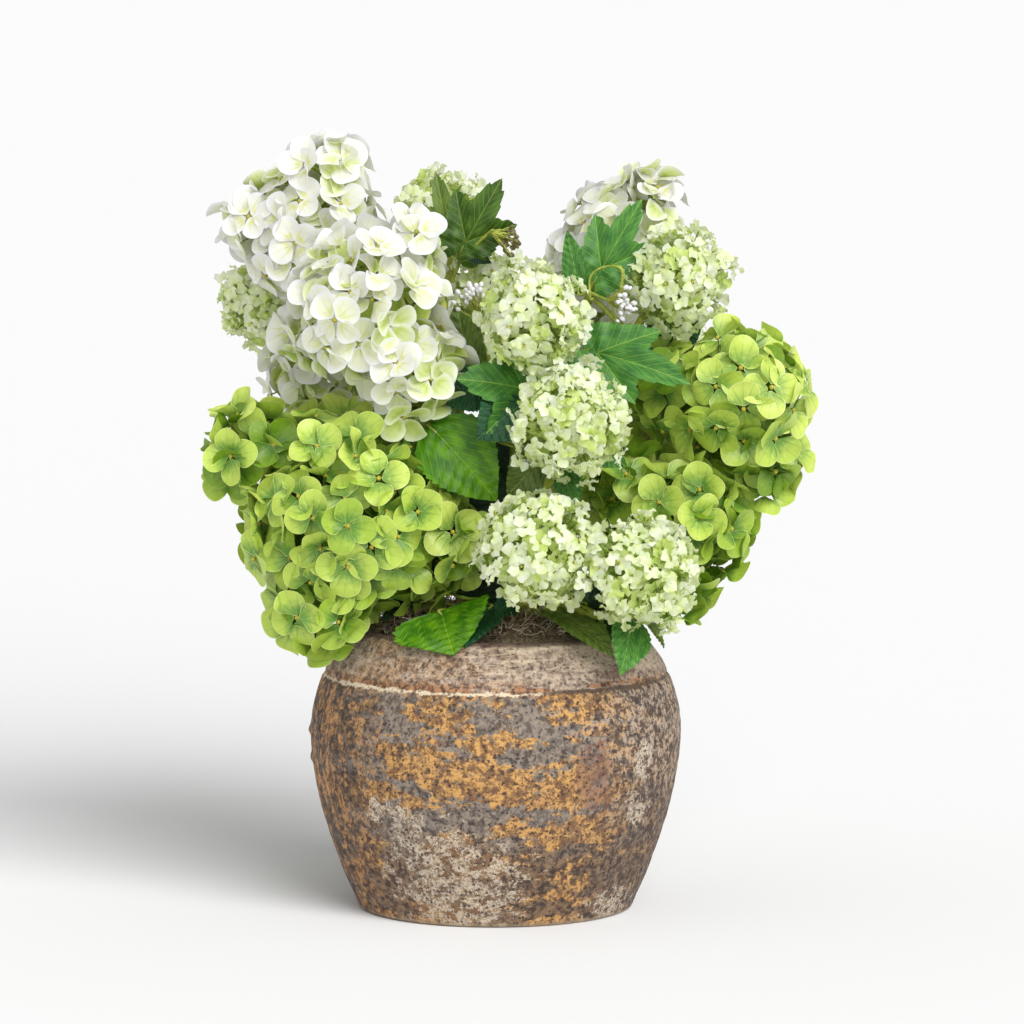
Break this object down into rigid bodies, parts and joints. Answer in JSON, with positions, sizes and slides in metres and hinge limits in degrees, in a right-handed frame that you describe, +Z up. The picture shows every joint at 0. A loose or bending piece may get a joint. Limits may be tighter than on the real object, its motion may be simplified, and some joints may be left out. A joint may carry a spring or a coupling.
{
  "type": "artificial hydrangea arrangement in a stoneware jar",
  "caption": "Artificial arrangement of white and lime hydrangea heads, snowball blossoms and green leaves on wired stems, standing in moss in an aged round stoneware jar.",
  "frame": {"origin": "the centre of the jar's flat underside, where it stands", "axes": "+Z up, the front of the arrangement faces -Y, +X is its right seen from the front"},
  "size_m": [0.4432, 0.3581, 0.5596],
  "materials": {
    "stoneware": "aged, rough, unglazed",
    "moss": "dry fibrous moss over foam",
    "stem_green": "matte",
    "white": "satin petals",
    "lime": "satin petals",
    "snowball": "matte petals",
    "leaf_green": "satin leaves"
  },
  "bodies": {
    "root": {"jar": "stoneware", "fill": "moss", "leaf_centre_broad": "leaf_green", "leaf_rim_back": "leaf_green", "leaf_rim_middle": "leaf_green", "leaf_rim_right": "leaf_green", "leaves_back": "leaf_green", "leaves_centre": "leaf_green", "leaves_left": "leaf_green", "leaves_right": "leaf_green", "leaves_right_high": "leaf_green", "leaves_right_middle": "leaf_green", "leaves_rim_front": "leaf_green", "leaves_top": "leaf_green", "lime_back_left": "lime", "lime_back_right": "lime", "lime_inner": "lime", "lime_left": "lime", "lime_right": "lime", "lime_right_low": "lime", "snowball_back": "snowball", "snowball_back_right": "snowball", "snowball_high": "snowball", "snowball_inner": "snowball", "snowball_left": "snowball", "snowball_low": "snowball", "snowball_low_right": "snowball", "snowball_middle": "snowball", "snowball_right": "snowball", "snowball_top": "snowball", "white_back": "white", "white_back_left": "white", "white_front": "white", "white_inner": "white", "white_left": "white", "white_right": "white", "white_top": "white", "stem_lime_back_left": "stem_green", "stem_lime_back_right": "stem_green", "stem_lime_inner": "stem_green", "stem_lime_left": "stem_green", "stem_lime_right": "stem_green", "stem_lime_right_low": "stem_green", "stem_snowball_back": "stem_green", "stem_snowball_back_right": "stem_green", "stem_snowball_high": "stem_green", "stem_snowball_inner": "stem_green", "stem_snowball_left": "stem_green", "stem_snowball_low": "stem_green", "stem_snowball_low_right": "stem_green", "stem_snowball_middle": "stem_green", "stem_snowball_right": "stem_green", "stem_snowball_top": "stem_green", "stem_white_back": "stem_green", "stem_white_back_left": "stem_green", "stem_white_front": "stem_green", "stem_white_inner": "stem_green", "stem_white_left": "stem_green", "stem_white_right": "stem_green", "stem_white_top": "stem_green"}
  },
  "joints": []
}
